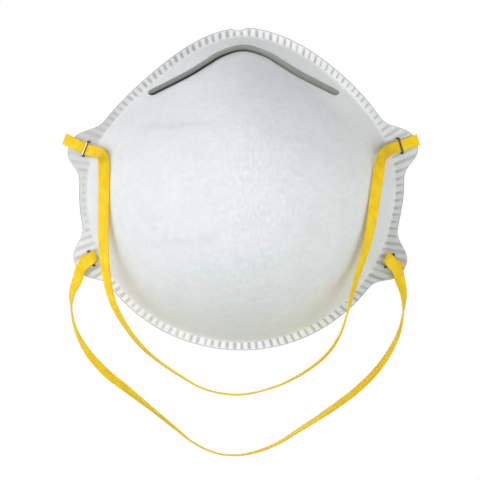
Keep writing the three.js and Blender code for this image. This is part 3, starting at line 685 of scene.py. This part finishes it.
# STAPLES
# Steel wire staples, 0.55 mm thick, driven through each ear and its strap from the front and clinched behind. The
# strap lies under the crown, and on the lower ears it folds back over it too.
WIRE = 0.55 * MM
STRAP_WIDTH = 4.7 * MM
STRAP_THICKNESS = 0.7 * MM
CLEARANCE = 0.3 * MM
UNDER_LIFT = CLEARANCE + STRAP_THICKNESS / 2        # strap under the crown, over the ear's front
CROWN_LIFT = UNDER_LIFT + STRAP_THICKNESS / 2 + CLEARANCE + WIRE / 2
OVER_LIFT = CROWN_LIFT + WIRE / 2 + CLEARANCE + STRAP_THICKNESS / 2
CLINCH_LIFT = -2.375 * MM
CLINCH_LENGTH = 2.2 * MM
WIRE_BEND = 0.45 * MM
WIRE_STRETCH = 1.35              # flattening of the wire, which is wider along the strap
HIGHLIGHT_SIDE = 1.8                  # how much more the side with its painted highlight looks out than along the strap

# How bright the painted highlight on each crown is, from 0 to 1
CROWN_HIGHLIGHT = {"upper_left": 1, "upper_right": 0.04, "lower_left": 0.6, "lower_right": 0.1}

# Galvanised wire, dark with smut, with a painted highlight along one side of its crown
staple_steel, tree, shader = new_material("drawn_galvanised_wire")
place = node(tree, "TexCoord").outputs["Object"]
smut = node(tree, "TexNoise", [("Vector", place), ("Scale", 1500), ("Detail", 3)])
tone = node(tree, "Mix", [(0, smut.outputs[0]), (6, linear("#24231F")), (7, linear("#4C4A42"))], data_type="RGBA")
painted_highlight = node(tree, "Attribute", attribute_name="painted_highlight").outputs["Fac"]
tone = node(tree, "Mix", [(0, painted_highlight), (6, tone.outputs[2]), (7, linear("#C4C6C9"))], data_type="RGBA")
tree.links.new(tone.outputs[2], shader.inputs["Base Color"])
shader.inputs["Metallic"].default_value = 1
shader.inputs["Roughness"].default_value = 0.28
relief = node(tree, "Bump", [("Height", smut.outputs[0]), ("Strength", 0.2), ("Distance", 0.02 * MM)])
tree.links.new(relief.outputs[0], shader.inputs["Normal"])


def rounded_corners(points, radius, steps):
    """The points of a bent wire, with an arc for each of its corners."""
    line = [points[0]]
    for before, corner, after in zip(points, points[1:], points[2:]):
        a, b = (before - corner).normalized(), (after - corner).normalized()
        for i in range(steps + 1):
            s = i / steps
            line.append(corner + a * radius * (1 - s) ** 2 + b * radius * s ** 2)
    return line + [points[-1]]


for ear in EARS:
    middle, along, across, out = ear_frame(ear)
    corners = [middle + across * a + out * lift for a, lift in (
        (LEG_REACH - CLINCH_LENGTH, CLINCH_LIFT), (LEG_REACH, CLINCH_LIFT), (LEG_REACH, CROWN_LIFT),
        (-LEG_REACH, CROWN_LIFT), (-LEG_REACH, CLINCH_LIFT), (CLINCH_LENGTH - LEG_REACH, CLINCH_LIFT))]
    course = Course(rounded_corners(corners, WIRE_BEND, 6))
    bm = bmesh.new()
    bmesh.ops.create_cone(bm, cap_ends=True, segments=16, radius1=WIRE / 2, radius2=WIRE / 2, depth=course.length,
                          matrix=Matrix.Translation((course.length / 2, 0, 0)) @ Matrix.Rotation(pi / 2, 4, "Y"))
    bmesh.ops.subdivide_edges(bm, edges=edges_along(bm, 0, course.length), cuts=120, use_grid_fill=True)
    painted_highlight = bm.verts.layers.float.new("painted_highlight")
    for vert in bm.verts:
        x, y, z = vert.co
        place, slope, _ = course.at(x)
        on_crown = smoothstep(LEG_REACH - 0.1 * MM, LEG_REACH - 0.7 * MM, abs(x - course.length / 2))
        vert[painted_highlight] = CROWN_HIGHLIGHT[ear.name] * on_crown * smoothstep(0.5, 1, (y - HIGHLIGHT_SIDE * z) / WIRE)
        vert.co = place + along * WIRE_STRETCH * y + slope.cross(along).normalized() * z
    staple = add_mesh(f"wire_staple_{ear.name}", bm, staple_steel)
    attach(staple, "mask")
    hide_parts(f"staple_{ear.name}")

# HEAD STRAPS
# Two flat yellow elastics, 4.7 by 0.7 mm, extruded and cut to length. The upper one comes forward from its staples
# onto the flanks of the cup and hangs below the chin. The lower one folds back over its staples before it hangs.
STRAP_EDGE = 0.2 * MM            # rounding of its long edges
TIGHT_FOLD = 0.4 * MM            # room inside the fold beside a staple

# The free part of each strap from left to right: its middle line (x, y, z) in mm, and how many degrees its face is
# turned from the front about that line
UPPER_RUN = [
    (-60.6, 6.4, 15.3, 0),
    (-59.1, 1.6, 14.8, 0),
    (-57.6, -3.2, 13.9, 0),
    (-56.6, -5.6, 11.7, -24),
    (-56.4, -6.2, 3.5, 12),
    (-56.5, -6.3, -8.8, 22),
    (-56.6, -6.2, -21, 29),
    (-56, -5.9, -31, 39),
    (-54.6, -6, -40, 52),
    (-52, -6.1, -48.4, 61),
    (-46.5, -6.3, -57.7, 70),
    (-41.2, -6.5, -64.3, 74),
    (-35.8, -6.7, -69.2, 80),
    (-25.6, -7.1, -76.3, 84),
    (-14.8, -7.5, -82.1, 87),
    (-1.2, -7.9, -84.2, 87),
    (12.2, -8.2, -81.4, 87),
    (20.1, -8.4, -78.1, 84),
    (27.7, -8.7, -73.5, 82),
    (33.1, -8.9, -69.2, 80),
    (37.5, -9.2, -64, 80),
    (40.6, -9.4, -58.2, 84),
    (42.6, -9.6, -52, 86),
    (44.1, -9.8, -45.7, 75),
    (45.9, -10, -39.2, 67),
    (48.4, -10.1, -31.1, 58),
    (50.9, -10.2, -22.9, 47),
    (52.5, -10.2, -15, 36),
    (53.7, -9.9, -7, 22),
    (55, -8.7, 2, 14),
    (56.9, -5.6, 11.7, -36),
    (58.8, -2.6, 14.6, 0),
    (60.3, 2.2, 15.7, 0),
    (61.6, 7, 16.4, 0),
]
LOWER_RUN = [
    (-68.2, 8.9, -38.3, 35),
    (-70.1, 8.7, -43.5, 64),
    (-70.3, 8.6, -49.6, 86),
    (-68.5, 8.6, -58.1, 77),
    (-63.6, 8.7, -67.3, 58),
    (-55.8, 8.8, -76, 49),
    (-47.1, 8.9, -82.9, 56),
    (-37.2, 9, -90.8, 72),
    (-27.9, 9.1, -98.4, 79),
    (-19.8, 9.1, -104.8, 87),
    (-10.5, 9.2, -109, 88),
    (-1.2, 9.2, -109.8, 88),
    (7.1, 9.2, -108, 94),
    (15.3, 9.1, -104.6, 97),
    (23.1, 9.1, -99.7, 102),
    (30.5, 9, -95, 108),
    (38.5, 9, -89.6, 115),
    (46.5, 8.9, -83.6, 118),
    (54.6, 8.8, -75.8, 117),
    (60.2, 8.7, -68.3, 111),
    (64.4, 8.6, -60, 101),
    (66.4, 8.6, -51.6, 90),
    (66.6, 8.7, -43.6, 58),
    (65.4, 8.9, -38.3, 34),
]


def stapled_end(ear):
    """Rows of a strap's stapled end, tail first: a place, and the way that its stapled face looks there."""
    middle, along, across, out = ear_frame(ear)
    rows = [(middle + along * reach + out * UNDER_LIFT, out) for reach in (ear.tail, ear.tail / 2, 0)]
    if not ear.folded:
        return rows
    fold = WIRE / 2 + CLEARANCE + STRAP_THICKNESS + TIGHT_FOLD
    half = (UNDER_LIFT + OVER_LIFT) / 2
    rows += [
        (middle - along * fold + out * UNDER_LIFT, out),
        (middle - along * (fold + half - UNDER_LIFT) + out * half, along),
        (middle - along * fold + out * OVER_LIFT, -out),
    ]

    # Back over the staple towards the tail and a little to the side, in strap widths
    for forward, outward in ((0.2, 0.2), (0.85, 0.35)):
        place = middle + along * forward * STRAP_WIDTH + across * outward * ear.side * STRAP_WIDTH
        rows.append((place + out * OVER_LIFT, -out))
    return rows


def strap_course(left_ear, right_ear, run):
    """The course of a whole strap, from its left tail to its right one."""
    left, right = stapled_end(left_ear), stapled_end(right_ear)[::-1]
    places = [place for place, _ in left] + [Vector(row[:3]) * MM for row in run] + [place for place, _ in right]
    line = smooth_line(places)
    faces = [face for _, face in left]
    for i, (*_, turn) in enumerate(run, len(left)):
        slope = (line[i * LINE_DIVISIONS + 1] - line[i * LINE_DIVISIONS - 1]).normalized()
        front = Vector((0, -1, 0))
        front = (front - slope * front.dot(slope)).normalized()
        faces.append(Quaternion(slope, radians(turn)) @ front * (-1 if left_ear.folded else 1))
    faces += [face for _, face in right]
    return Course(line, smooth_line(faces))


# Extruded elastomer: an even yellow, with painted shade along its edges, faint draw lines along it and dulled by
# talc
strap_elastic, tree, shader = new_material("extruded_yellow_elastomer")
flat = node(tree, "Attribute", attribute_name="flat_place").outputs["Vector"]
drawn = node(tree, "Mapping", [("Vector", flat), ("Scale", (0.02, 1, 1))])
lines = node(tree, "TexNoise", [("Vector", drawn.outputs[0]), ("Scale", 1600), ("Detail", 2)])
talc = node(tree, "TexNoise", [("Vector", flat), ("Scale", 260), ("Detail", 2), ("Roughness", 0.5)])
batch = node(tree, "MapRange", [("Value", talc.outputs[0]), ("From Min", 0.3), ("From Max", 0.7)])
tone = node(tree, "Mix", [(0, batch.outputs[0]), (6, linear("#F4C20E")), (7, linear("#F8DA28"))], data_type="RGBA")
places = node(tree, "SeparateXYZ", [(0, flat)])
across = node(tree, "Math", [(0, places.outputs[1])], operation="ABSOLUTE")
edge_shade = node(tree, "MapRange", [("Value", across.outputs[0]), ("From Min", 1.6 * MM), ("From Max", 2.35 * MM),
                               ("To Max", 0.12)])
tone = node(tree, "Mix", [(0, edge_shade.outputs[0]), (6, tone.outputs[2]), (7, linear("#D99A10"))], data_type="RGBA")
tree.links.new(tone.outputs[2], shader.inputs["Base Color"])
dusty = node(tree, "MapRange", [("Value", talc.outputs[0]), ("To Min", 0.42), ("To Max", 0.62)])
tree.links.new(dusty.outputs[0], shader.inputs["Roughness"])
shader.inputs["Specular IOR Level"].default_value = 0.2
relief = node(tree, "Bump", [("Height", lines.outputs[0]), ("Strength", 0.12), ("Distance", 0.04 * MM)])
tree.links.new(relief.outputs[0], shader.inputs["Normal"])


def head_strap(name, left_ear, right_ear, run, steps):
    """Makes a whole strap, and gives its middle line and its length too."""
    course = strap_course(left_ear, right_ear, run)
    bm = flat_strip(course.length, STRAP_WIDTH, STRAP_THICKNESS, steps, 6, STRAP_EDGE)
    for vert in bm.verts:
        x, y, z = vert.co
        place, slope, face = course.at(x)
        vert.co = place + face.cross(slope) * y + face * z
    strap = add_mesh(name, bm, strap_elastic)
    path = [course.at(course.length * i / steps)[0] for i in range(steps + 1)]
    return strap, path, course.length


upper, upper_path, upper_length = head_strap("upper_head_strap", EARS[0], EARS[1], UPPER_RUN, 320)
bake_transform(upper)
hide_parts("upper_strap", "upper_strap_end_left", "upper_strap_end_right")

lower, lower_path, lower_length = head_strap("lower_head_strap", EARS[2], EARS[3], LOWER_RUN, 280)
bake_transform(lower)
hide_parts("lower_strap", "lower_strap_end_left", "lower_strap_end_right")

# STUDIO
# A plain white floor below the hanging straps, soft panels at the mask's height on the left, low ones on the right,
# a small one in front and one high behind. The floor and the backdrop are white to the camera and in reflections
# alone, so that they don't light the mask from below.
FLOOR_RADIUS = 0.27
FLOOR_MIDDLE = (0, 0.05, -0.17)
FLOOR_GLOW = 0.4
AMBIENT_STRENGTH = 0.14


def seen_rays(tree):
    """1 for the rays that show what they meet, to the camera or in a reflection or refraction, and 0 for others."""
    ray = node(tree, "LightPath").outputs
    seen = node(tree, "Math", [(0, ray["Is Camera Ray"]), (1, ray["Is Glossy Ray"])], operation="MAXIMUM")
    seen = node(tree, "Math", [(0, seen.outputs[0]), (1, ray["Is Transmission Ray"])], operation="MAXIMUM")
    return seen.outputs[0]


floor_bm = bmesh.new()
bmesh.ops.create_circle(floor_bm, cap_ends=True, segments=64, radius=FLOOR_RADIUS,
                        matrix=Matrix.Translation(FLOOR_MIDDLE))
floor_paint, tree, shader = new_material("matt_white_floor")
place = node(tree, "TexCoord").outputs["Object"]
grain = node(tree, "TexNoise", [("Vector", place), ("Scale", 300), ("Detail", 4)])
tone = node(tree, "Mix", [(0, grain.outputs[0]), (6, linear("#F3F7F5")), (7, linear("#FAFCFB"))], data_type="RGBA")
seen = seen_rays(tree)
tone = node(tree, "Mix", [(0, seen), (6, linear("#B6C8BE")), (7, tone.outputs[2])], data_type="RGBA")
tree.links.new(tone.outputs[2], shader.inputs["Base Color"])
shader.inputs["Roughness"].default_value = 0.9
shader.inputs["Emission Color"].default_value = (1, 1, 1, 1)
glow = node(tree, "Math", [(0, seen), (1, FLOOR_GLOW)], operation="MULTIPLY")
tree.links.new(glow.outputs[0], shader.inputs["Emission Strength"])
floor_piece = add_mesh("studio_floor", floor_bm, floor_paint)

scene.view_settings.view_transform = "Standard"
world = bpy.data.worlds.new("white_studio")
scene.world = world
world.use_nodes = True
tree = world.node_tree
tree.nodes.clear()
ambient = node(tree, "Background", [("Color", (0.932, 1, 0.974, 1)), ("Strength", AMBIENT_STRENGTH)])
backdrop = node(tree, "Background", [("Color", (1, 1, 1, 1)), ("Strength", 1)])
blend = node(tree, "MixShader", [(0, seen_rays(tree)), (1, ambient.outputs[0]), (2, backdrop.outputs[0])])
node(tree, "OutputWorld", [("Surface", blend.outputs[0])])


def soft_panel(name, place, target, size, power, colour):
    """Adds a rectangular area light that faces a target. power is in watts and colour linear."""
    light = bpy.data.lights.new(name, "AREA")
    light.shape, light.size, light.size_y = "RECTANGLE", size[0], size[1]
    light.energy, light.color = power, colour
    panel = bpy.data.objects.new(name, light)
    panel.location = place
    panel.rotation_euler = (Vector(target) - Vector(place)).to_track_quat("-Z", "Y").to_euler()
    scene.collection.objects.link(panel)


soft_panel("left_panel", (-0.95, -0.85, 0.12), (0, 0, -0.01), (1.8, 1.6), 7.7, (0.977, 0.962, 1))
soft_panel("left_side_panel", (-1.2, -0.35, 0.12), (0, 0, -0.01), (2.6, 2.3), 15.2, (0.99, 0.988, 1))
soft_panel("right_panel", (0.95, -0.85, -0.45), (0, 0, -0.01), (1.8, 1.6), 6.8, (0.985, 0.995, 0.972))
soft_panel("right_side_panel", (1.2, -0.35, -0.5), (0, 0, -0.01), (2.6, 2.3), 14.2, (0.98, 0.995, 0.98))
soft_panel("front_panel", (0, -1.25, 0), (0, 0, -0.01), (0.8, 0.6), 4.4, (0.959, 0.925, 1))
soft_panel("back_panel", (0, 1, 0.9), (0, 0.1, -0.06), (1.4, 1.2), 8, (1, 1, 1))
